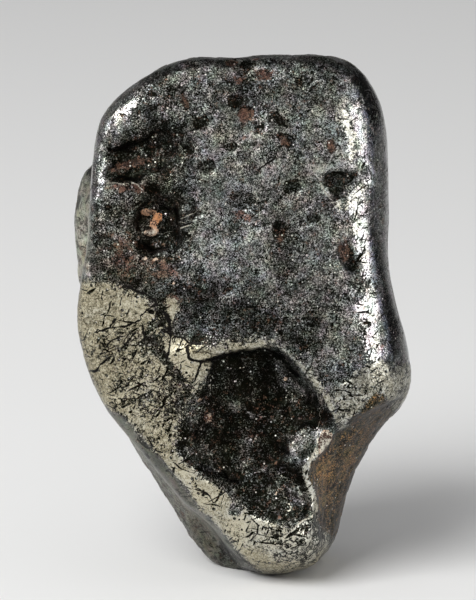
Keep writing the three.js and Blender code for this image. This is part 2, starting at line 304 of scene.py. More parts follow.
# Outlines on the broad face, in mm
patches = {
    "hollow": [
        (-2, -3.1), (-1, -2.85), (0, -2.6), (1.8, -2.35), (2.4, -2.6), (3.3, -3.2), (4.2, -4.2),
        (5.1, -5.4), (6, -6.7), (6.5, -7.6), (5.3, -7.9), (4.2, -8.1), (3.5, -8.7), (3.3, -9.7),
        (2.6, -10.3), (1, -11), (-0.3, -11.9), (-1.5, -11.5), (-3, -10.8), (-4, -10), (-4.3, -9),
        (-4.1, -7.5), (-3.8, -6.4), (-3.2, -5.4), (-2.3, -4.7), (-2, -3.7)],
    "lowerHollow": [
        (2.6, -10), (3.8, -10.4), (4.5, -11.2), (4.9, -12.1), (5.05, -13), (4.8, -13.9), (3.5, -14.4),
        (2.2, -14.2), (1, -14), (0.2, -13.3), (-0.5, -12.6), (-0.6, -11.6), (0.8, -10.8)],
    "recess": [
        (-9.1, 11.2), (-8.2, 11.5), (-7.2, 11.7), (-6.5, 12.3), (-6, 12.9), (-5, 12.8), (-4.2, 12.6),
        (-3.9, 11.8), (-4, 10.8), (-4.4, 10), (-4.6, 9.2), (-5.6, 9.4), (-6.6, 9.3), (-7.6, 9.1),
        (-8.6, 9), (-9.3, 9.4), (-8.9, 10.2)],
    "socket": [
        (-6.8, 7.9), (-5.8, 8.2), (-5, 8), (-4.4, 7.5), (-4.3, 6.6), (-4.4, 5.9), (-4.1, 5.2), (-4, 4.6),
        (-4.6, 4.2), (-5.5, 4.4), (-6.3, 4.3), (-6.8, 4.9), (-6.6, 5.6), (-7.2, 5.9), (-7.3, 6.5),
        (-6.7, 7.2)],
    "cream": [
        (-13.5, 2.4), (-10.3, 2.3), (-9.3, 2.2), (-8.7, 2), (-8.3, 1.5), (-7.5, 1.7), (-6.6, 1.2),
        (-6, 0.6), (-5.3, 1.2), (-4.6, 1.3), (-4.2, 0.6), (-4.7, -0.4), (-4.6, -1), (-4, -1.6),
        (-3.4, -1.9), (-2.8, -2.2), (-2, -2.35), (-1, -1.95), (0, -1.75), (1.8, -1.7), (1.9, -2.3),
        (1, -2.45), (-0.2, -2.6), (-1, -2.85), (-2, -3.1), (-2, -3.8), (-2.3, -4.6), (-3, -5),
        (-3.6, -5.5), (-4, -6.4), (-4.4, -7.6), (-4.5, -8.8), (-4.3, -9.7), (-2.9, -11), (-2, -11.65),
        (-1.2, -12.15), (-0.6, -12.8), (-0.8, -13.7), (-0.2, -13.8), (0.2, -13.2), (0.6, -13.8),
        (2, -14.2), (3.2, -14.6), (4.2, -14.4), (5, -14), (5.3, -14.7), (5.9, -15), (7, -15.5), (7, -20),
        (1.4, -20), *reversed(crest), (-13.5, -5.5)],
    "flank": [*((u, v - 0.1) for u, v in crest), (1.4, -20), (-14, -20), (-14, -6)],
    "rightPatch": [
        (8, -3.75), (8.8, -3.3), (9.6, -3.1), (10.3, -3.4), (13.5, -3.6), (13.5, -7.4), (10.6, -6.8),
        (10.1, -6.2), (9.9, -5.5), (9.2, -5.3), (8.7, -5.9), (8.2, -6.4), (7.7, -6.9), (7.3, -7.7),
        (6.8, -7.7), (6.4, -7), (6.7, -6.3), (6.1, -5.5), (6.4, -4.9), (7.3, -4.4)],
    "scoop": [
        (9.2, -5.3), (9.9, -5.5), (10.1, -6.2), (10.6, -6.8), (14, -8), (12, -15.2), (6.4, -15.4),
        (5.4, -14.6), (5.1, -13.8), (5.15, -12.9), (4.9, -12), (4.5, -11.4), (4.4, -10.6), (4.8, -9.9),
        (5.4, -9.5), (6, -8.9), (6.4, -8), (7.2, -7.8), (7.8, -6.9), (8.3, -6.3), (8.8, -5.8)],
    "glossRight": [
        (7.6, 14.6), (7.5, 13.6), (7.9, 12.6), (8.05, 11.4), (8.1, 10.4), (8.9, 10.1), (9.1, 9.6),
        (8.5, 9.2), (8.3, 8.7), (7.7, 8.5), (7.3, 7.8), (7.4, 7), (7.7, 6.2), (7.75, 5), (7.95, 4),
        (8.3, 3.2), (8.35, 2.6), (8.9, 2.2), (8.6, 1.4), (8, 0.9), (7.6, 0.4), (7.8, -0.3), (8.1, -1.2),
        (8.4, -2.2), (8.6, -3.2), (13.5, -3.4), (13.5, 17.5), (8.2, 17.5), (7.6, 16)],
    "stripCream": [
        (6.6, 13.9), (7, 14.1), (7.4, 13.8), (7.55, 13), (7.8, 12.4), (7.9, 11.5), (7.85, 10.8),
        (7.6, 10.6), (7.4, 11.2), (7.3, 12), (7, 12.6), (6.8, 13.1), (6.5, 13.4)],
    "lightSpot": [
        (6.1, 7.9), (7.2, 7.7), (7.5, 8.3), (7.9, 8.6), (8.4, 8.4), (8.3, 7.6), (7.7, 7.2), (7, 7.2),
        (6.3, 7.4)],
    "darkFlake": [
        (5.9, 9.6), (6.6, 9.85), (7, 9.9), (7.9, 9.85), (8, 9.3), (7.6, 9), (7.25, 8.8), (7.1, 8.4),
        (7, 8.1), (6.5, 8.05), (6.1, 8.1), (5.9, 8.5), (5.55, 8.9), (5.6, 9.3)],
    "greyFlake": [
        (4, -8.2), (4.4, -8.05), (5, -8.15), (5.2, -8.4), (5.1, -9), (4.9, -9.6), (4.6, -9.8),
        (4.2, -9.9), (3.8, -9.5), (3.7, -9), (3.85, -8.6)],
    "whiteFlake": [
        (5.55, -8), (6.05, -7.9), (6.15, -8.5), (5.9, -9), (5.4, -9.5), (5.15, -9.4), (5.3, -8.7)],
    "glossCorner": [
        (-13.5, 7.6), (-9.5, 7.6), (-9.3, 9.8), (-9.2, 12), (-8.9, 13), (-8.2, 13.4), (-7.6, 13.7),
        (-7.2, 14.5), (-6.9, 15.4), (-7.6, 18), (-13.5, 17)],
}

# How each patch is sunk or raised: from and to in from its outline, height in mm, share of roughness
steps = {
    "lowerHollow": (0, 0.5, -0.10, 0.6),
    "recess": (-0.3, 0.7, -0.30, 0.7),
    "socket": (-0.4, 0.8, -0.45, 0.7),
    "rightPatch": (-0.05, 0.15, 0.05, 0),
    "darkFlake": (-0.05, 0.12, -0.12, 0),
}
flakes = {"greyFlake": -0.10, "whiteFlake": 0.06}  # heights that the flakes level out at, mm

# Other patches of bright worn metal, and how clean they are
wornPatches = {"rightPatch": 0.76, "stripCream": 0.86, "lightSpot": 0.56}

# Each spot below is its place in u and v, its half-sizes, its turn in degrees and a value

# How clean the bright worn metal is inside its outline
wear = [
    (-9.6, 0.9, 1.6, 1.3, 0, 1.00), (-7, 0.3, 1.3, 1, -20, 0.92), (-9.8, -2.4, 1.2, 1.6, 0, 0.84),
    (-7.4, -2.4, 2.6, 1.8, -10, 0.66), (-5.6, -1.5, 1.4, 1.4, 0, 0.40), (-5.5, 0.2, 0.5, 1.1, 10, 0.30),
    (-4.6, -5.6, 1.9, 1.9, -30, 0.38), (-7.2, -5.4, 2.2, 1.8, -40, 0.62),
    (-5.8, -7.8, 2.2, 1.2, -50, 0.66), (-4.95, -3.3, 0.42, 2.4, 38, 0.12),
    (-4.1, -2.9, 0.8, 1.7, 38, 1.10), (-2.7, -3.6, 0.9, 1.1, 0, 0.95), (-3, -2.3, 1.6, 0.5, -10, 0.90),
    (-0.2, -2.25, 2.2, 0.6, 3, 0.86), (-2.3, -1.75, 0.9, 0.30, -5, 0.15),
    (-3.2, -11.6, 3, 1.1, -50, 0.92), (0.2, -14.8, 1.5, 1.5, 0, 0.86), (4.2, -15.7, 2.7, 2, 20, 0.56),
    (4.6, -14.2, 0.9, 0.7, 0, 0.30), (2.6, -14.5, 1.3, 0.6, 0, 0.66),
]

# How light the dark metal is
tones = [
    (-1.2, 5.6, 3.2, 4.4, 8, 0.54), (-0.8, 11.2, 3.4, 1.6, -10, 0.51), (3.6, 11.4, 3.2, 2.6, 0, 0.47),
    (6, 13.2, 1.8, 1.6, 0, 0.56), (5, 3.6, 2.2, 3.4, 0, 0.44), (7.3, 12, 1.4, 2.2, 0, 0.62),
    (5.6, 10.1, 0.9, 0.4, 10, 0.78), (5.75, 8.5, 0.3, 0.6, 40, 0.78), (1.9, 9.7, 0.5, 0.7, -15, 0.68),
    (-1.6, 7.6, 0.22, 1.2, 0, 0.66), (0.7, 5.5, 0.7, 0.5, 0, 0.64), (0.4, 15.2, 2.6, 1.5, 0, 0.28),
    (-6.2, 14.9, 2.6, 1.5, 25, 0.20), (-7.6, 12.9, 1.6, 0.7, 10, 0.40), (-6.8, 3.4, 2.6, 2.6, 0, 0.28),
    (-8.6, 6.2, 1.4, 2.2, 0, 0.28), (-9.7, 4.8, 0.8, 2.2, 0, 0.30), (-3.4, 0.6, 2.6, 1.8, -20, 0.18),
    # painted shade: the spot at -2.2, -1.75 darkens the band above the lip where the lamp's highlight
    # falls
    (0.6, -0.4, 2.8, 1.4, 0, 0.13), (4.4, -1.2, 2, 1.6, -30, 0.18), (-2.2, -1.75, 1.7, 0.45, 0, 0.04),
    (0.2, 6.4, 1.2, 1, 0, 0.34), (6.8, -1.8, 1.6, 1.8, 0, 0.48), (2.8, 4.6, 0.7, 2.8, 5, 0.22),
    (-5.2, 8.6, 1.7, 1.6, 0, 0.10), (-7.4, 7.4, 2.2, 1.6, 0, 0.24), (-5.6, 11, 2.4, 2.4, 0, 0.15),
    (-5.4, 5.2, 1.9, 2.6, 0, 0.16),
]

# The same for the floors of the hollows
floorTones = [
    (3.5, -4.9, 0.7, 2.1, 35, 0.36), (0.3, -9.4, 0.5, 1.4, -10, 0.22), (-2.6, -9.6, 1.4, 1, -30, 0.16),
    (-3.3, -6.4, 0.7, 1.4, 0, 0.24), (4.6, -6.9, 1.3, 1, -40, -0.25), (2.4, -10.9, 1.8, 1, -10, -0.08),
    (4.1, -12.3, 0.8, 1, 10, 0.30), (-0.4, -6.45, 0.55, 0.36, 0, 0.38), (0.5, -6.6, 0.7, 0.12, -40, 0.46),
]

# How bright the bare metal is; the spot on the scoop's rim at 4.95, -11.4 is a painted reflection, and the
# dull spot at -3, -2.3 is painted shade above the lip
shine = [
    (-9.7, 0.8, 1.8, 1.8, 0, 0.58), (-7.2, 0.5, 1.5, 1, -20, 0.76), (-6.6, -5.8, 2.8, 2.4, -40, 0.68),
    (-8.9, -3.4, 1.4, 2, 0, 0.52), (-3.9, -3, 1, 1.9, 38, 0.80), (-3, -2.3, 0.9, 0.5, 0, 0.42),
    (-0.4, -2.3, 2, 0.7, 0, 0.64), (-3, -11.8, 3, 1.2, -50, 0.86), (0.2, -14.8, 1.7, 1.7, 0, 0.94),
    (4.2, -15.8, 2.5, 1.8, 20, 0.98), (9.4, -4.4, 2.2, 1.2, 0, 0.42), (7.4, -6.2, 1, 1.8, 0, 0.58),
    (7.3, -7.3, 0.5, 0.4, 0, 0.98), (4.95, -11.4, 0.5, 1.5, 0, 1.25), (7.2, 12.4, 0.8, 1.8, 0, 0.84),
]

# How thick the dark strokes lie
marked = [
    (-8, -1.7, 2.8, 1.6, 25, 0.74), (-6, -4.6, 2.4, 1.8, -30, 0.66), (-5.4, 0.2, 0.9, 1.4, 0, 0.80),
    (-3.2, -11.8, 3, 1.2, -50, 0.60), (2.6, -15.2, 3.6, 1.4, 0, 0.78), (8, 5.2, 0.6, 3.6, -6, 0.70),
    (8.2, 1.6, 1.1, 1.2, 0, 0.95), (0, 5, 4, 5, 0, 0.46), (7.8, 11.6, 1.4, 2.4, 0, 0.10),
    (-8.4, 13.8, 1.6, 1.8, 0, 0.10),
]

# How warm the metal's colour is
warmth = [
    (-8, 3.6, 2.6, 2.4, 0, 0.9), (-6.5, 9, 2.8, 3.6, 0, 0.7), (-0.5, -7, 4, 4, 0, 0.7),
    (-0.4, -2.3, 2.4, 0.7, 0, 0.45), (9, -4.6, 3, 1.8, -20, 0.08), (0, -0.4, 4, 1.4, 0, 0.15),
    (-1, 5, 2.6, 3.6, 0, 0.10), (3.6, -15.4, 3, 1.8, 0, 0.60),
]

# Lines along the glossy right edge where a highlight is painted into the metal, with a painted dark
# reflection beside it: points in u and v
highlightStrip = [
    [(7.5, 14), (7.8, 12), (8.1, 10.6), (8.4, 9.8), (8.9, 9.4)],
    [(7.8, 8.4), (7.9, 7), (8.1, 6), (8.2, 5), (8.4, 4), (8.7, 3), (9.2, 2),
     (9.2, 1), (8.7, 0.2), (8.6, -1), (8.85, -2), (8.9, -3.2)],
    [(7.8, 0.4), (8.8, 0)],
]

# Ridges, ledges and grooves: points in u and v, height in mm (negative cuts in), half-width in mm
ridges = {
    "lip": ([(-2, -2.65), (-0.6, -2.4), (0.4, -2.2), (1.8, -2.2)], 0.04, 0.40),
    "underLip": ([(-1.8, -3.4), (-1, -3.25), (0.2, -3), (1.6, -2.85)], -0.30, 0.40),
    "rightLedge": ([(2.2, -1.8), (3.4, -2.7), (4.5, -3.9), (5.2, -4.8), (5.9, -5.8), (6.6, -7.1)],
                   0.14, 0.30),
    "scoopRim": ([(6.1, -8.3), (5.3, -9.4), (4.7, -9.95), (4.4, -10.7), (4.55, -11.5),
                  (4.9, -12.1), (5.1, -12.9), (5.15, -13.7)], 0.20, 0.26),
    "recessWall": ([(-9, 11), (-7.7, 11.1), (-6.6, 11.7), (-6, 12.3)], -0.26, 0.32),
    "recessRidge": ([(-9, 9.8), (-7.6, 10.25), (-6.3, 10.7)], 0.28, 0.30),
    "pinkLedge": ([(-9.2, 8.8), (-8.2, 8.95), (-7.4, 9), (-6.9, 8.6)], 0.16, 0.26),
    "crest": ([(-7.6, -7.4), (-6.2, -8.8), (-4.9, -10.1), (-3.7, -11.6), (-2.7, -13),
               (-1.5, -14.2), (-0.7, -15.2), (0.2, -16.4)], 0.14, 0.40),
}

# Cracks, and the painted shadow under the lip drawn as the second of them: points in u and v, half-width
# in mm
cracks = [
    ([(-4.9, -0.6), (-4.8, -1.3), (-4.9, -2), (-5, -2.9)], 0.10),
    # painted shadow under the lip
    ([(-3.7, -2.2), (-3.6, -2.9), (-3.35, -3.15), (-2.7, -3.2), (-1.9, -3.02), (-1, -2.8)], 0.13),
    ([(-2.7, -3.2), (-2.9, -3.7), (-3, -4.1), (-3.2, -4.6)], 0.08),
    ([(-5.3, -1.1), (-4.5, -1.5), (-4, -1.55), (-3.5, -1.95), (-2.9, -2)], 0.08),
    ([(-8.2, 2.1), (-7.4, 1.75), (-6.6, 1.45), (-6, 1.1), (-5.6, 0.4), (-5, -0.1), (-4.8, -0.8)], 0.11),
    ([(0.8, -14.1), (1.2, -14.5), (1.1, -15.1), (0.7, -15.5)], 0.07),
    ([(-2.9, -12), (-2.3, -12.3), (-1.9, -12.9)], 0.07),
    ([(-4.6, -10.2), (-4.1, -10.6), (-3.3, -10.9)], 0.06),
    ([(6.5, -5.15), (7, -5.2), (7.5, -5.35)], 0.06),
    ([(9.8, -4.5), (9.4, -4.7), (9.1, -5.1)], 0.05),
    ([(-8.2, 1.2), (-8.3, 0.6)], 0.08),
    ([(-8.5, -0.2), (-8.9, -0.7)], 0.09),
    ([(-6.1, 0.5), (-6.6, 0.15), (-6.9, -0.1)], 0.08),
    ([(-7, -0.4), (-7.9, -0.8), (-9, -0.9), (-9.9, -1.2)], 0.08),
    ([(-8.2, -1.5), (-8.9, -1.8), (-9.6, -2.6)], 0.08),
    ([(-9, -2.9), (-9.6, -3.4), (-10, -3.9)], 0.08),
    ([(-7.4, -1.4), (-8.1, -2.3)], 0.07),
    ([(-6.7, -1), (-6.5, -2.4)], 0.07),
    ([(-6.3, -8.7), (-6.1, -9.1)], 0.08),
    ([(-4, 6.12), (-3.3, 6.33)], 0.06),
    ([(-2.4, 4), (-2.7, 3.4)], 0.06),
    ([(2.4, 10.7), (1.7, 10.3), (1.1, 9.8)], 0.06),
]

# Thin pale lines: the lit rims of ledges, scratches and a stuck fibre
threads = [
    ([(-9.2, 9), (-8.7, 9.05), (-8.1, 8.95)], 0.06),
    ([(-7.5, 9.05), (-7.1, 8.9), (-6.8, 8.6)], 0.06),
    ([(-4, 6.60), (-3.4, 6.88)], 0.05),
    ([(-4.1, 5.95), (-3.5, 6.12)], 0.05),
    ([(5.30, -8.5), (5.25, -9), (4.95, -9.6), (4.75, -10.1), (4.7, -10.6)], 0.07),
    ([(5.05, -12.4), (5.15, -12.9), (5.2, -13.5), (4.9, -13.9), (4.3, -14.1), (3.8, -14.5)], 0.07),
    ([(5.95, 8.15), (5.7, 8.5), (5.45, 8.95)], 0.06),
    ([(3.3, -13), (3.45, -13.25), (3.38, -13.5), (3.15, -13.5)], 0.05),
]

# Broad dents on the back, in u and v, and on the right and left sides, in w and v: heights in mm
dents = {
    "back": [(-4.5, 9.5, 3.4, 2.6, 20, -0.60), (3.8, 4, 2.8, 3.8, -15, -0.55),
             (-2.5, -3, 3.4, 2.2, 10, -0.50), (4.5, -7.5, 2.2, 2.8, 0, -0.45),
             (0.8, 12.8, 1.8, 1.3, 0, -0.35), (-6, 2.5, 1.3, 2, 0, -0.35),
             (1.2, -11.5, 2, 1.5, 0, -0.40)],
    "right": [(-1.6, 7.5, 1.7, 2.6, 10, -0.40), (-4.2, 0, 1.6, 2.4, -10, -0.45),
              (-2.5, 13.4, 1.6, 1.2, 0, -0.30), (-4.6, -11, 1.4, 2.4, 0, -0.35)],
    "left": [(-2.2, 12.6, 2, 1.6, 0, -0.40), (-5.4, -1, 1.7, 2.8, 10, -0.45),
             (-0.5, 5.4, 1.3, 2.2, 0, -0.35), (-5.2, -9.5, 1.6, 2.2, 0, -0.40)],
}

# Pits, and how high each is in mm (negative cuts in)
pits = {
    "brownPit": (7.15, 4.1, 0.6, 0.9, 20, -0.10),
    "blackPit": (7.6, 3.3, 0.5, 0.36, 0, -0.20),
    "cornerPit": (6.2, 11.5, 0.35, 0.6, 20, -0.14),
    "tearPit": (5, 6.6, 0.6, 0.35, -10, -0.10),
    "troughPit": (2.6, 5.7, 0.55, 0.75, 0, -0.14),
    "topPit": (0, 7.8, 0.95, 0.7, 0, -0.13),
    "leftPit": (-2.3, 10.1, 0.7, 0.55, 0, -0.13),
    "leftPitSmall": (-3.6, 11.3, 0.4, 0.35, 0, -0.12),
    "crownPit": (0.3, 13.8, 0.65, 0.55, 0, -0.12),
    "crownDark": (-0.4, 14.6, 0.6, 0.5, 0, -0.12),
    "crownRed": (1.6, 16.4, 0.6, 0.35, 0, -0.10),
    "shoulderRed": (-3.85, 14.5, 0.28, 0.5, 10, -0.10),
}

# How strong the reddish and brown stains are
stains = [
    (7.1, 4.4, 0.5, 0.9, 20, 0.9), (6.2, 11.5, 0.3, 0.5, 20, 0.7), (0.3, 13.6, 0.7, 0.6, 0, 0.8),
    (1.6, 16.4, 0.8, 0.4, -15, 0.8), (-0.2, 16.1, 0.5, 0.3, 0, 0.6), (-3.85, 14.5, 0.3, 0.55, 10, 0.9),
    (0.1, 6.8, 0.7, 0.5, 0, 0.5), (2.7, 5.2, 0.4, 0.6, 0, 0.5), (-7.6, 10.3, 1.7, 0.35, 18, 0.8),
    (-8, 8.7, 1.2, 0.35, 0, 0.4), (-8, 4.2, 0.9, 1.8, 0, 0.34), (-5.4, 3, 1.2, 0.9, 0, 0.5),
    (-4.7, 0.8, 0.6, 0.6, 0, 0.7), (-8.9, -3.8, 0.35, 0.25, 0, 0.8), (5.8, -10.7, 0.9, 1.2, 0, 0.44),
    (5.6, -12.7, 0.6, 0.8, 0, 0.22), (7.4, -10.4, 0.9, 1.6, -30, 0.2), (8.9, -8.2, 0.5, 1, -40, -0.1),
    (-2.1, -7.2, 0.6, 0.5, 0, 0.45),
]

# Crumbs that stand up from the hollows: spots with a height in mm, and 0 for orange to 1 for pale
crumbs = [
    (-6.35, 7.05, 0.56, 0.26, 4, 0.20, 0.35), (-5.72, 6.70, 0.42, 0.38, -30, 0.26, 0),
    (-6.02, 6.20, 0.26, 0.40, 10, 0.18, 0.25), (-6.20, 5.66, 0.52, 0.27, 8, 0.24, 1),
    (-7, 5.3, 0.12, 0.10, 0, 0.06, 1), (-6.55, 3.85, 0.14, 0.13, 0, 0.08, 1),
    (-5.8, 3.8, 0.24, 0.08, 10, 0.05, 1), (-6.55, 2.15, 0.10, 0.09, 0, 0.05, 1),
    (-4.55, 2.2, 0.12, 0.12, 0, 0.06, 1), (-2.85, -5.85, 0.22, 0.10, 10, 0.06, 1),
    (2.4, -12.3, 0.09, 0.16, 0, 0.06, 1), (3.05, -4.45, 0.12, 0.12, 0, 0.06, 1),
    (-2.15, -6.9, 0.16, 0.16, 0, 0.16, 1), (-2.2, -7.4, 0.15, 0.17, 0, 0.16, 1),
    (-0.4, -11.7, 0.10, 0.10, 0, 0.08, 1),
]

offLines = 9.0  # what a crack or a thread reads as, in half-widths, away from all of them


def noiseAt(points, size, seed, octaves=1):
    # signed noise of about -1 to 1 with lumps of the given size, in mm
    shift = Vector((seed * 17.3, seed * 5.1, seed * 9.7))
    if octaves == 1:
        return np.array([noise.noise(Vector(p) / size + shift) for p in points])
    return np.array([noise.fractal(Vector(p) / size + shift, 0.9, 2.1, octaves) for p in points])


def ease(low, high, value):
    share = np.clip((value - low) / (high - low), 0, 1)
    return share * share * (3 - 2 * share)


def towards(value, goal, share):
    return value + (goal - value) * share


def stretches(points, u, v):
    # for each stretch of a line: how far along it, how far from it and how far to its side
    for (au, av), (bu, bv) in zip(points, points[1:]):
        du, dv = bu - au, bv - av
        along = ((u - au) * du + (v - av) * dv) / (du * du + dv * dv)
        share = np.clip(along, 0, 1)
        reach = np.hypot(u - au - share * du, v - av - share * dv)
        yield along, reach, ((u - au) * dv - (v - av) * du) / math.hypot(du, dv)


def linePlace(lines, u, v):
    # signed distance to the nearest line, in half-widths
    best = np.full(len(u), 1e9)
    signed = np.full(len(u), offLines)
    for points, halfWidth in lines:
        for along, reach, side in stretches(points, u, v):
            side = np.where(np.abs(along - 0.5) < 0.75, side, np.where(side < 0, -offLines, offLines))
            nearer = reach < best
            best = np.where(nearer, reach, best)
            signed = np.where(nearer, np.clip(side / halfWidth, -offLines, offLines), signed)
    return signed


def lineDistance(points, u, v):
    return np.minimum.reduce([reach for _, reach, _ in stretches(points, u, v)])


def lineSwell(points, halfWidth, u, v):
    # 1 on the line, falling away over its half-width
    return np.exp(-(lineDistance(points, u, v) / halfWidth) ** 2)


def patchDepth(points, u, v):
    # distance in from the patch's edge, negative outside it
    closed = list(points) + [points[0]]
    inside = np.zeros(len(u), bool)
    for (au, av), (bu, bv) in zip(closed, closed[1:]):
        if av == bv:
            continue
        crosses = (av > v) != (bv > v)
        inside ^= crosses & (u < au + (v - av) * (bu - au) / (bv - av))
    return np.where(inside, 1, -1) * lineDistance(closed, u, v)


def spotReach(spot, u, v):
    # 0 at the middle of the spot, 1 at its edge
    middleU, middleV, halfWide, halfTall, turn = spot
    c, s = math.cos(math.radians(turn)), math.sin(math.radians(turn))
    along = (c * (u - middleU) + s * (v - middleV)) / halfWide
    across = (c * (v - middleV) - s * (u - middleU)) / halfTall
    return np.hypot(along, across)


def inSpot(spot, u, v, low, high):
    # 1 inside the low reach of the spot, 0 past the high one
    return 1 - ease(low, high, spotReach(spot, u, v))


def overSpots(value, spots, u, v, low, high):
    # a value that each spot in turn pulls towards its own
    for *spot, goal in spots:
        value = towards(value, goal, inSpot(spot, u, v, low, high))
    return value


def gathered(items, name, width, kind=np.float32):
    # a row of values for each of a mesh's points or edges
    values = np.empty(len(items) * width, kind)
    items.foreach_get(name, values)
    return values.reshape(-1, width)


class Clay:
    # the mesh being sculpted: its points in mm, its normals and its place on the broad face;
    # what the sculpting finds out about each point is kept on it by name, for the paint
    def __init__(self, mesh):
        self.mesh = mesh
        self.relief = np.zeros(len(mesh.vertices))
        self.read()

    def read(self):
        self.place = gathered(self.mesh.vertices, "co", 3).astype(float) / mm
        self.mesh.update()
        self.normal = gathered(self.mesh.vertex_normals, "vector", 3).astype(float)
        lean = math.radians(nugget["lean"])
        x, y, z = (self.place - np.array(middle) / mm).T
        self.u = x
        self.v = z * math.cos(lean) + y * math.sin(lean) + nugget["rise"]
        self.w = z * math.sin(lean) - y * math.cos(lean)
        self.facing = self.normal @ np.array((0, -math.cos(lean), math.sin(lean)))

    def write(self):
        self.mesh.vertices.foreach_set("co", (self.place * mm).astype(np.float32).ravel())
        self.read()

    def offFoot(self, amount):
        return amount * ease(0.02, nugget["footKept"], self.place[:, 2])

    def shift(self, axis, amount):
        self.place[:, axis] += self.offFoot(amount)
        self.write()

    def push(self, amount):
        amount = self.offFoot(amount)
        self.relief += amount
        self.place += self.normal * amount[:, None]
        self.place[:, 2] = np.maximum(self.place[:, 2], 0)
        self.write()

    def spread(self, values, passes):
        # average with the neighbouring points, again and again
        a, b = gathered(self.mesh.edges, "vertices", 2, np.int32).T
        count = np.bincount(a, minlength=len(values)) + np.bincount(b, minlength=len(values)) + 1
        for _ in range(passes):
            total = np.bincount(a, values[b], len(values)) + np.bincount(b, values[a], len(values))
            values = (values + total) / count
        return values

    def both(self, face, rest):
        # one value on the broad face, another on the rest of the nugget
        return face * self.front + rest * self.side

    def paint(self, name, values):
        layer = self.mesh.attributes.new(name, "FLOAT", "POINT")
        layer.data.foreach_set("value", values.astype(np.float32))


def rawForm():
    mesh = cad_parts["nugget"].data.copy()
    mesh.name = "nuggetForm"
    form = bpy.data.objects.new("nuggetMetal", mesh)
    bpy.context.collection.objects.link(form)
    mesh.materials.clear()
    work = bmesh.new()
    work.from_mesh(mesh)
    bmesh.ops.remove_doubles(work, verts=work.verts, dist=1e-6)
    bmesh.ops.recalc_face_normals(work, faces=work.faces)
    work.to_mesh(mesh)
    work.free()
    return form


def applyModifiers(piece):
    graph = bpy.context.evaluated_depsgraph_get()
    done = bpy.data.meshes.new_from_object(piece.evaluated_get(graph))
    piece.modifiers.clear()
    piece.data = done


def smoothForm(form):
    remesh = form.modifiers.new("remesh", "REMESH")
    remesh.mode = "VOXEL"
    remesh.voxel_size = nugget["voxel"] * mm
    applyModifiers(form)
    held = Clay(form.data).place.copy()
    smooth = form.modifiers.new("smooth", "SMOOTH")
    smooth.factor = 0.5
    smooth.iterations = nugget["smooth"]
    applyModifiers(form)
    clay = Clay(form.data)
    keep = ease(0.0, nugget["footKept"], held[:, 2])[:, None]
    clay.place = held + (clay.place - held) * keep
    clay.place[held[:, 2] < 0.01, 2] = 0
    clay.push(np.zeros(len(held)))
    return clay


def reshape(clay):
    # the limbs moved sideways a little, before anything is cut into them
    for side, sign in (("right", 1), ("left", -1)):
        heights, moves = zip(*limbs[side])
        share = ease(1.0, 8.5, clay.u * sign)  # none at the middle of the face
        clay.shift(0, sign * share * np.interp(clay.v, heights, moves))


def carveFace(clay, u, v):
    # the hollow, the recess, the socket, the ledges, the flakes, the named pits and the crumbs
    depth = clay.depth
    rough = noiseAt(clay.place, 0.7, 5, 3)
    # the hollow drops sharply under the lip and slopes in from the left and the upper right
    slope = ease(0.5, -3.5, u) * ease(-4.2, -6.0, v)
    slope = np.maximum(slope, 0.5 * ease(2.2, 3.6, u) * ease(-2.6, -3.6, v))
    sunk = np.clip((depth["hollow"] + 0.05) / (0.30 + 1.3 * slope), 0, 1)
    relief = -nugget["hollowDeep"] * sunk * (1 + 0.5 * rough)
    for name, (low, high, height, ragged) in steps.items():
        relief += height * ease(low, high, depth[name]) * (1 + ragged * rough)
    for name, level in flakes.items():
        relief = towards(relief, level, ease(-0.12, 0.12, depth[name]))
    for points, height, halfWidth in ridges.values():
        relief += height * lineSwell(points, halfWidth, u, v)
    for *spot, height in pits.values():
        relief += height * inSpot(spot, u, v, 0.55, 1.15)
    for *spot, height, _ in crumbs:
        relief += height * inSpot(spot, clay.u, clay.v, 0.5, 1.1)
    clay.push(relief * clay.front)


def dentSides(clay, warp):
    faces = {
        "back": (clay.u, clay.v, ease(0.0, -0.5, clay.facing)),
        "right": (clay.w, clay.v, ease(0.3, 0.8, clay.normal[:, 0])),
        "left": (clay.w, clay.v, ease(-0.3, -0.8, clay.normal[:, 0])),
    }
    dented = np.zeros(len(clay.u))
    for name, (across, up, share) in faces.items():
        for *spot, height in dents[name]:
            inside = inSpot(spot, across + 2 * warp[0], up + 2 * warp[1], 0.1, 1.2)
            dented += height * share * inside
    clay.push(dented)


def scatterPits(clay):
    # shallow ragged pits, with how deep in a pit each point is and which pits are stained
    dice = np.random.default_rng(nugget["seed"])
    least, more = nugget["pitSize"]
    drift = np.stack([noiseAt(clay.place, 0.7, seed, 2) for seed in (21, 22, 23)], 1)
    warped = clay.place + 0.30 * drift
    relief = np.zeros(len(clay.u))
    clay.floors = np.zeros(len(clay.u))
    clay.stained = np.zeros(len(clay.u))
    for index in dice.integers(0, len(clay.u), nugget["pits"]):
        size = least + more * dice.random() ** 2.5
        deep = nugget["pitDeep"] * (1 + size * dice.random())
        stain = dice.random() < nugget["stainedPits"]
        near = np.abs(clay.place - clay.place[index]).max(1) < size * 2
        reach = np.linalg.norm(warped[near] - clay.place[index], axis=1) / size
        inside = 1 - ease(0.45, 1.0, reach)
        relief[near] -= deep * inside
        clay.floors[near] = np.maximum(clay.floors[near], inside)
        if stain:
            clay.stained[near] = np.maximum(clay.stained[near], inside)
    return relief * (1 - 0.8 * clay.worn)


def roughen(clay):
    # pits, lumps and low terraces, held back on the worn metal and the glossy edges
    depth = clay.depth
    scattered = scatterPits(clay)
    uneven = noiseAt(clay.place, 1.3, 6, 4)
    terrace = ease(-0.05, 0.12, noiseAt(clay.place, 1.1, 7, 3)) - 0.5
    calm = np.maximum.reduce([depth["glossRight"], depth["glossCorner"], depth["flank"]])
    calm = np.maximum(clay.worn, ease(-0.4, 0.5, calm) * ease(-2.0, 1.0, clay.w))
    lumps = nugget["lumpHigh"] * (uneven + terrace)
    clay.push(scattered * (1 - calm) + lumps * (1 - 0.85 * calm))
    clay.uneven = 0.6 * uneven + 0.8 * terrace


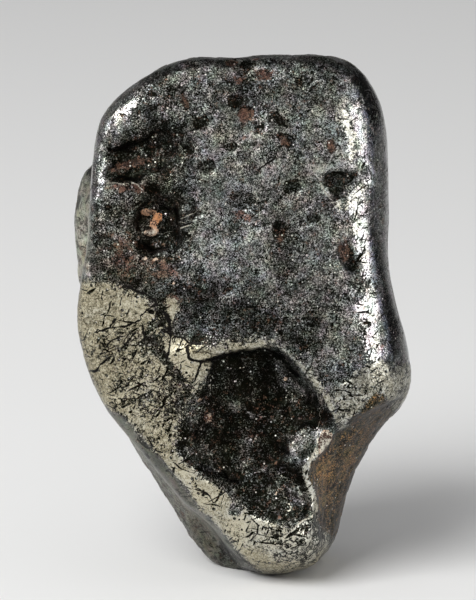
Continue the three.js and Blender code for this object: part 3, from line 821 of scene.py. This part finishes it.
def sculpt(clay):
    warp = [0.15 * noiseAt(clay.place, 0.9, seed) + 0.10 * noiseAt(clay.place, 0.35, seed + 1)
            for seed in (1, 3)]
    u, v = clay.u + warp[0], clay.v + warp[1]
    clay.front = ease(0.0, 0.45, clay.facing) * ease(0.5, 2.5, clay.w)
    clay.depth = {name: patchDepth(points, u, v) for name, points in patches.items()}
    clay.worn = ease(-0.1, 0.3, np.maximum(clay.depth["cream"], clay.depth["rightPatch"])) * clay.front
    carveFace(clay, u, v)
    dentSides(clay, warp)
    roughen(clay)
    clay.ragged = clay.u + 1.6 * warp[0], clay.v + 1.6 * warp[1]


def feelForm(clay):
    # what wear and dirt follow, what the painted light and shade follow, and where the side finishes lie
    depth = clay.depth
    clay.side = 1 - clay.front
    clay.cavity = clay.relief - clay.spread(clay.relief, 24)
    clay.broad = noiseAt(clay.place, 6.0, 11, 3)
    clay.mid = noiseAt(clay.place, 1.8, 12, 2)
    flat = np.stack([clay.spread(axis, 260) for axis in clay.place.T], 1)
    proud = ((clay.place - flat) * clay.normal).sum(1)
    clay.proud = np.clip((proud - np.median(proud)) / proud.std(), -2, 2)
    clay.rubbed = 0.30 * clay.proud + 0.75 * clay.broad
    wander = 1.2 * clay.mid + 2.0 * clay.broad
    flank = ease(-0.1, 0.2, depth["flank"] + 0.8 * wander * clay.side)
    flank *= ease(-5.0, -1.5, clay.w + wander)
    up = clay.v + wander
    # the left lobe, whose metal is painted lighter as a reflection of the bright room
    clay.lobe = ease(-10.0, -10.5, clay.u) * ease(1.5, 4.0, up) * ease(10.5, 8.5, up)
    clay.lobe *= ease(-4.5, -2.0, clay.w + wander)
    clay.flank = np.maximum(flank, 0.8 * clay.lobe)
    clay.brown = np.minimum(depth["scoop"] + 0.6 * wander * clay.side, (clay.w + 2.0 + 2.2 * wander) * 0.3)
    clay.edge = np.minimum.reduce([lineDistance(points, clay.u, clay.v) for points in highlightStrip])


def paintBright(clay):
    # share of bright worn metal, with a painted highlight along the right ledge and a painted reflection
    # along the scoop's rim
    u, v, depth = clay.u, clay.v, clay.depth
    soft = 0.14 + 0.45 * ease(-2.40, -2.05, v) * ease(-3.4, -2.4, u)  # width of its fading edge
    soft += 0.75 * ease(-3.6, -5.4, v) * ease(-9.6, -8.6, v) * ease(-7.5, -4.5, u)
    soft += 0.25 * ease(-6, -7, u) + 0.3 * ease(2, 3, u) * ease(-12, -14, v)
    level = overSpots(0.92, wear, u, v, 0.6, 1.2)
    bright = np.minimum(0.5 + 0.5 * np.clip(depth["cream"] / soft, -2.4, 1.4), level)
    for name, level in wornPatches.items():
        patch = np.minimum(0.5 + 0.5 * np.clip(depth[name] / 0.3, -2.4, 1), level)
        bright = np.maximum(bright, patch)
    # painted highlight: bright metal along the right ledge, where its edge catches the light
    glint = lineSwell(ridges["rightLedge"][0], 0.32, u, v)
    # painted reflection: a white line of bright metal along the scoop's rim
    rimReflection = lineSwell(ridges["scoopRim"][0], 0.22, u, v)
    bright = np.maximum(bright, (0.90 + 0.34 * ease(-2.6, -3.4, v)) * glint - 0.34)
    bright = np.maximum(bright, 1.70 * rimReflection - 0.40)
    rest = (0.5 + 1.3 * (clay.rubbed - 0.30)) * (1 - clay.flank) + 3.0 * np.minimum(clay.cavity, 0.05)
    rest -= 1.2 * ease(-0.3, 0.4, clay.brown)
    clay.paint("bright", np.clip(clay.both(bright, rest), -0.8, 1.4))


def paintTone(clay):
    # lightness of the dark metal, its pits and how grainy it is
    u, v, depth, flank = clay.u, clay.v, clay.depth, clay.flank
    tone = overSpots(0.42, tones, u, v, 0.5, 1.35)
    # the recess, the socket and the hollows painted near black: dark oxide, deepened with painted shade
    tone = towards(tone, 0.02, ease(-0.8, 0.5, np.maximum(depth["recess"], depth["socket"])))
    tone = towards(tone, -0.15, ease(-0.7 + 0.6 * ease(1.5, 3.0, u), 0.5, depth["hollow"]))
    tone = towards(tone, -0.03, ease(-0.4, 0.6, depth["lowerHollow"]))
    tone = overSpots(tone, floorTones, *clay.ragged, 0.6, 1.25)
    tone = towards(tone, 0.16, clay.worn)
    # painted dark reflection: the dark metal on the glossy right edge made darker below the top
    tone = towards(tone, 0.12, ease(-0.1, 0.3, depth["glossRight"]) * ease(14, 8.5, v))
    tone = towards(tone, 0.50, ease(-0.06, 0.06, depth["darkFlake"]))
    tone = towards(tone, 0.26, ease(-0.06, 0.06, depth["greyFlake"]))
    tone = clay.both(tone, 0.42 + 0.08 * clay.proud + 0.12 * clay.mid)
    # on the left lobe the satin metal is painted lighter: a painted reflection of the bright room
    tone = towards(tone, 0.565 + 0.43 * clay.lobe + 0.15 * clay.broad, flank)
    # painted shade: darker in creases and pits, over the dark oxide there, and a touch lighter on ridges
    tone += 0.07 * clay.uneven + 0.8 * np.clip(clay.cavity, -0.2, 0.04)
    clay.paint("tone", np.clip(tone, -0.3, 1))
    pit = 1.3 * clay.floors - 0.8
    for *spot, _ in pits.values():
        pit = np.maximum(pit, (1 - spotReach(spot, u, v)) * clay.front)
    clay.paint("pit", np.clip(np.maximum(pit, depth["darkFlake"] * clay.front), -1, 1))
    flake = ease(-0.06, 0.06, np.maximum(depth["darkFlake"], depth["greyFlake"])) * clay.front
    smooth = 0.8 * flank + 0.4 * flake + 0.25 * clay.side * (1 - flank)
    clay.paint("grit", np.clip(1 - smooth, 0, 1))


def paintSheen(clay):
    # brightness of the bare metal, with the painted highlight and painted dark reflection on the glossy
    # right edge, the dark strokes on it, and where the metal leans to brown
    u, v, depth = clay.u, clay.v, clay.depth
    sheen = overSpots(0.62, shine, u, v, 0.5, 1.3)
    high = ease(8.6, 10.6, v)  # the painted highlight on the right edge is broader and duller near the top
    stripHighlight = 1 - ease(0.40 - 0.15 * high, 0.85 + 0.9 * high, clay.edge)
    onGloss = ease(-0.3, 0.0, depth["glossRight"]) * (1 - ease(-0.2, 0.1, depth["stripCream"]))
    # painted highlight along the lines on the glossy right edge, and darker metal beside it as a painted
    # dark reflection
    sheen = towards(sheen, 0.12 + (0.88 - 0.28 * high) * stripHighlight, onGloss)
    sheen = towards(sheen, 0.62, ease(-0.2, 0.1, depth["glossCorner"]))
    clay.paint("sheen", clay.both(sheen, 0.50 + 0.15 * clay.broad))
    clay.paint("needles", overSpots(0.40, marked, u, v, 0.5, 1.3) * clay.front)
    warm = overSpots(0.30 + 0.7 * ease(-0.5, 0.5, depth["cream"]), warmth, u, v, 0.5, 1.3)
    clay.paint("warm", clay.both(warm, 0.55))


def paintStains(clay):
    # stains, the brown scoop and the glossy edges
    u, v, depth = clay.u, clay.v, clay.depth
    stain = np.full(len(u), -0.4)
    for *spot, strength in stains:
        stain = np.maximum(stain, -0.5 + (strength + 0.4) * inSpot(spot, u, v, 0.3, 1.5))
    stain = clay.both(stain, -0.50 - 0.09 * clay.proud + 0.5 * noiseAt(clay.place, 3.0, 14, 2))
    stained = clay.stained * ((1 - clay.worn) * (1 - ease(-0.2, 0.1, depth["scoop"])))
    stain = np.maximum(stain, -0.5 + 0.85 * stained)
    stain -= 0.3 * ease(0, 0.4, depth["hollow"]) * ease(-5.5, -4.5, v)
    clay.paint("stain", stain)
    clay.paint("scoop", np.clip(clay.brown, -2, 2))
    onStrip = 1 - ease(0.5, 0.9, clay.edge)
    gloss = np.minimum(depth["glossRight"], 0.8 - 0.62 * onStrip)
    gloss = np.maximum(gloss, np.minimum(1.5 * depth["glossCorner"], 0.8))
    gloss = clay.both(gloss, 0.9 * (clay.rubbed + 0.15) - clay.flank)
    clay.paint("gloss", np.clip(gloss, -2, 2))


def paintLines(clay):
    # cracks with the painted shadow under the lip, threads and crumbs
    u, v = clay.u, clay.v
    for name, lines in (("crack", cracks), ("thread", threads)):
        place = linePlace(lines, u, v)
        clay.paint(name, clay.both(place, np.where(place < 0, -offLines, offLines)))
    crumb = ease(-0.08, 0.08, clay.depth["whiteFlake"])
    pale = crumb.copy()
    for *spot, _, paleness in crumbs:
        inside = inSpot(spot, u, v, 0.2, 1.5)
        crumb = np.maximum(crumb, inside)
        pale = np.maximum(pale, inside * paleness)
    clay.paint("crumb", crumb * clay.front)
    clay.paint("pale", pale * clay.front)


metal = {
    "worn": [(0.0, (0.036, 0.032, 0.021)), (0.35, (0.185, 0.163, 0.108)),
             (0.65, (0.39, 0.35, 0.240)), (1.0, (0.64, 0.60, 0.47))],  # bright metal
    "greyWorn": (0.97, 1.07, 1.34),  # tints of the bright metal and the dark where they aren't warm
    "cool": (0.955, 1.0, 1.02),
    "warm": (1.03, 0.98, 0.86),
    "hues": 0.38,  # how far the colour drifts from place to place
    "olive": (1.0, 0.985, 0.86),  # tint of the satin metal that has no grain
    "steel": [(0.0, (0.025, 0.026, 0.025)), (0.5, (0.16, 0.158, 0.152)),
              (1.0, (0.46, 0.455, 0.44))],  # glossy rolled edges, from dull to rubbed; along the right edge the bright end paints a highlight and the dull end a dark reflection
    "patina": [(0.0, (0.003, 0.003, 0.002)), (0.2, (0.014, 0.014, 0.0115)),
               (0.4, (0.053, 0.054, 0.050)), (0.6, (0.135, 0.135, 0.130)),
               (0.8, (0.265, 0.265, 0.256)), (1.0, (0.47, 0.465, 0.445))],
    # pale specks that are painted glints
    "glintSpeck": (0.62, 0.60, 0.55),
    "scoop": [(0.1, (0.010, 0.010, 0.008)), (0.45, (0.041, 0.039, 0.031)),
              (0.72, (0.108, 0.087, 0.060)), (1.0, (0.36, 0.21, 0.095))],
    "stain": [(0.15, (0.008, 0.005, 0.004)), (0.5, (0.048, 0.027, 0.019)),
              (0.90, (0.16, 0.083, 0.052))],
    # near black of the cracks and of the painted shadow under the lip
    "crack": (0.010, 0.009, 0.008),
    "crumbOrange": (0.54, 0.24, 0.10),
    "paleCrumbAndLitRim": (0.70, 0.66, 0.55),
    "crumbDirt": (0.05, 0.022, 0.012),
    "sizes": {"grain": 0.085, "dust": 0.055, "flake": 0.95, "smallFlake": 0.34, "glintSpeck": 0.36,
              "dot": 0.36},  # of the cells that each is picked from, mm
    "strokes": [(-32, 1.5, 0.24), (12, 1.2, 0.22), (-68, 1.1, 0.22)],  # turn, then length and width, mm
    "rough": {"patina": 0.36, "gloss": 0.17, "scoop": 0.30, "stain": 0.45, "crumb": 0.5},
    "grain": 0.030,  # depth of the finest relief, mm
}


def addPatterns(net):
    # noises, cells, lines and strokes that the finishes share
    size = metal["sizes"]
    net.coords = net.make("TexCoord", {})["Object"]
    net.fine = net.noise(0.10, 2, 0.75)
    net.medium = net.noise(0.45, 4, 0.68, 0.4)
    net.chunk = net.noise(0.40, 3, 0.62, 1.4)
    net.grain = net.cells(size["grain"])[1]
    net.dust = net.cells(size["dust"])[1]
    net.ragged = net.mottle(medium=2.6, fine=1.5)
    net.lightLines = net.curls(0.28, 0.060)
    net.darkLines = net.curls(0.34, 0.060)
    strokes = net.most(*(net.strokes(*values) for values in metal["strokes"]))
    strokes = net.add(strokes, net.times(net.attribute("needles"), 0.12), -0.12)
    net.strokeMarks = net.step(strokes, 0.60, 0.63)
    warm = net.around(net.noise(2.0, 2), 1.4)
    net.warm = net.math("ADD", net.attribute("warm"), warm, clamp=True)
    net.grit = net.attribute("grit")
    net.sheen = net.attribute("sheen")


def findWorn(net):
    # bright metal, broken by dots, needles, curls, cracks and the painted shadow under the lip
    missing = net.math("SUBTRACT", 1.12, net.attribute("bright"), clamp=True)
    width = net.add(net.times(missing, 0.050), -0.002)
    curls = net.less(net.offLine(net.noise(0.75, 3, 0.6, 1.2)), width)
    where = net.step(net.add(net.noise(1.1, 1), net.times(missing, 0.5)), 0.50, 0.62)
    curls = net.times(net.lack(net.step(curls, -0.004, 0.008)), where)
    reach, pick = net.cells(metal["sizes"]["dot"], net.warped(0.2, 0.05))
    size = net.add(net.times(pick, 0.62), net.times(missing, 0.20), -0.26)
    dots = net.lack(net.step(net.less(reach, size), -0.03, 0.05))
    crack = net.math("ABSOLUTE", net.mottle(net.attribute("crack"), medium=4.0))
    crack = net.add(crack, net.around(net.noise(0.6, 2), 3.0))
    net.crack = net.lack(net.step(crack, 0.5, 0.9))
    marks = net.most(net.most(curls, dots), net.most(net.crack, net.strokeMarks))
    broken = net.mottle(chunk=2.4, medium=1.4, fine=0.9)
    bright = net.step(net.add(net.attribute("bright"), -0.5, broken), -0.04, 0.05)
    net.bright = net.times(bright, net.lack(marks))


def findOthers(net):
    # where the other finishes show
    gloss = net.step(net.add(net.attribute("gloss"), net.times(net.ragged, 0.6)), -0.05, 0.10)
    dulled = net.add(net.noise(0.20, 3, 0.65), net.around(net.noise(1.1, 2), 0.7),
                     net.times(net.sheen, -0.06))
    dulled = net.times(net.step(dulled, 0.35, 0.39), net.lack(net.strokeMarks))
    net.gloss = net.times(gloss, dulled)
    scoop = net.add(net.attribute("scoop"), net.times(net.ragged, 0.35))
    net.scoop = net.step(scoop, -0.06, 0.08)
    stain = net.mottle(net.attribute("stain"), net.times(net.ragged, 1.3), grain=0.5)
    net.stain = net.times(net.less(0.75, net.times(net.scoop, 0.75)), net.step(stain, -0.05, 0.55))
    crumb = net.add(net.attribute("crumb"), net.times(net.ragged, 0.5))
    net.crumb = net.step(crumb, 0.40, 0.55)
    thread = net.math("ABSOLUTE", net.mottle(net.attribute("thread"), medium=2.5))
    thread = net.lack(net.step(thread, 0.6, 1.0))
    net.thread = net.times(thread, net.step(net.fine, 0.40, 0.50))
    pit = net.mottle(net.attribute("pit"), medium=1.2, fine=0.6)
    net.pit = net.step(pit, -0.02, 0.10)
    net.pitRim = net.less(net.step(pit, -0.30, -0.08), net.pit)


def patinaColour(net):
    # sugary grains and crisp flakes of the dark metal
    shifted = net.warped(0.5, 0.25)
    flake = net.cells(metal["sizes"]["flake"], shifted)[1]
    smallFlake = net.cells(metal["sizes"]["smallFlake"], shifted)[1]
    flakes = net.add(net.times(net.step(smallFlake, 0.31, 0.28), -0.12),
                     net.times(net.step(smallFlake, 0.68, 0.71), 0.10),
                     net.times(net.step(flake, 0.31, 0.28), -0.12))
    grains = net.add(net.mottle(grain=0.75, dust=1.2, fine=0.4), flakes,
                     net.times(net.lightLines, 0.26), net.times(net.darkLines, -0.26))
    coarse = net.step(net.noise(1.2, 2), 0.36, 0.62)  # where the grain is coarse, and where it is fine
    grains = net.times(grains, net.mix(coarse, 0.70, 1.15))
    tone = net.add(net.attribute("tone"), net.times(grains, net.grit), net.times(net.pit, -0.32),
                   net.times(net.pitRim, 0.09), net.times(net.strokeMarks, -0.30))
    tint = net.mixColour(net.warm, metal["cool"], metal["warm"])
    colour = net.tinted(net.ramp(tone, metal["patina"]), tint)
    return net.tinted(colour, metal["olive"], net.step(net.grit, 0.7, 0.2))


def wornColour(net):
    lit = net.add(net.mottle(net.sheen, medium=1.0, chunk=0.7, grain=0.5, dust=0.5),
                  net.times(net.lightLines, 0.18), net.times(net.darkLines, -0.20))
    tint = net.mixColour(net.warm, metal["greyWorn"], (1.0, 1.0, 1.0))
    return net.tinted(net.ramp(lit, metal["worn"]), tint)


def glossColour(net):
    # its brightness follows the sheen, which carries the painted highlight and dark reflection on the
    # right edge
    lit = net.mottle(net.sheen, medium=0.7, grain=0.8, dust=1.5)
    return net.ramp(net.add(lit, net.times(net.lightLines, 0.16)), metal["steel"])


def scoopColour(net, dirt):
    # brown metal with rust where the stains lie
    rust = net.math("ADD", net.attribute("stain"), 0.5, clamp=True)
    rust = net.mottle(net.times(dirt, 0.62), net.times(rust, 0.40), dust=0.8, grain=0.5)
    return net.ramp(net.add(rust, 0.09), metal["scoop"])


def crumbColour(net, dirt):
    crumbs = net.mixColour(net.attribute("pale"), metal["crumbOrange"], metal["paleCrumbAndLitRim"])
    return net.mixColour(net.step(net.mottle(dirt, medium=2.0), 0.15, 0.85), metal["crumbDirt"], crumbs)


def metalColour(net):
    dirt = net.add(net.mottle(fine=1.6, medium=2.4, grain=0.9), 0.5)
    # painted glints: pale specks scattered on the grainy metal
    reach, pick = net.cells(metal["sizes"]["glintSpeck"])
    glintSpeck = net.times(net.lack(net.step(reach, 0.10, 0.20)), net.step(pick, 0.67, 0.71))
    hues = net.drift((1 - metal["hues"] / 2,) * 3, 0.8, metal["hues"])
    colour = net.mixColour(net.gloss, patinaColour(net), glossColour(net))
    colour = net.mixColour(net.scoop, colour, scoopColour(net, dirt))
    colour = net.mixColour(net.stain, colour, net.ramp(net.mottle(dirt, dust=1.0), metal["stain"]))
    colour = net.mixColour(net.times(glintSpeck, net.grit), colour, metal["glintSpeck"])
    colour = net.mixColour(net.bright, net.tinted(colour, hues), wornColour(net))
    # the cracks and the painted shadow under the lip, near black
    colour = net.mixColour(net.crack, colour, metal["crack"])
    # thin pale lines: painted highlights on the rims of ledges, with scratches and a fibre
    colour = net.mixColour(net.times(net.thread, 0.7), colour, metal["paleCrumbAndLitRim"])
    return net.mixColour(net.crumb, colour, crumbColour(net, dirt))


def metalRoughness(net):
    rough = metal["rough"]
    value = net.mix(net.gloss, rough["patina"], rough["gloss"])
    value = net.mix(net.scoop, value, rough["scoop"])
    value = net.mix(net.stain, value, rough["stain"])
    value = net.mix(net.bright, value, net.mix(net.medium, 0.26, 0.50))
    return net.mix(net.crumb, value, rough["crumb"])


def metalHeight(net):
    relief = net.add(net.fine, net.times(net.medium, 0.6), net.times(net.grain, 0.5))
    smoothed = net.most(net.bright, net.most(net.gloss, net.scoop))
    relief = net.times(net.times(relief, net.grit), net.mix(smoothed, 1.0, 0.08))
    return net.add(relief, net.times(smoothed, 1.1), net.times(net.crack, -2.0),
                   net.times(net.thread, 1.0), net.times(net.pit, -1.0))


def makeMetal():
    material = bpy.data.materials.new("josephiniteMetal")
    material.use_nodes = True
    net = Net(material.node_tree)
    shader = material.node_tree.nodes["Principled BSDF"]
    shader.inputs["Specular IOR Level"].default_value = 0.3
    addPatterns(net)
    findWorn(net)
    findOthers(net)
    net.put(shader.inputs["Base Color"], metalColour(net))
    net.put(shader.inputs["Roughness"], metalRoughness(net))
    metallic = net.mix(net.times(net.stain, net.lack(net.bright)), 1.0, 0.5)
    net.put(shader.inputs["Metallic"], net.mix(net.crumb, metallic, 0.0))
    bump = net.make("Bump", {"Distance": metal["grain"] * mm, "Height": metalHeight(net)})
    net.put(shader.inputs["Normal"], bump[0])
    return material


makeCamera()
makeStudio()
print("camera, floor and lamps made")
form = rawForm()
clay = smoothForm(form)
reshape(clay)
print("form smoothed:", len(form.data.vertices), "points")
sculpt(clay)
print("nugget sculpted")
feelForm(clay)
for paint in (paintBright, paintTone, paintSheen, paintStains, paintLines):
    paint(clay)
form.data.shade_smooth()
form.data.materials.append(makeMetal())
print("nugget painted and finished")
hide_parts("nugget")
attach(form, "root")
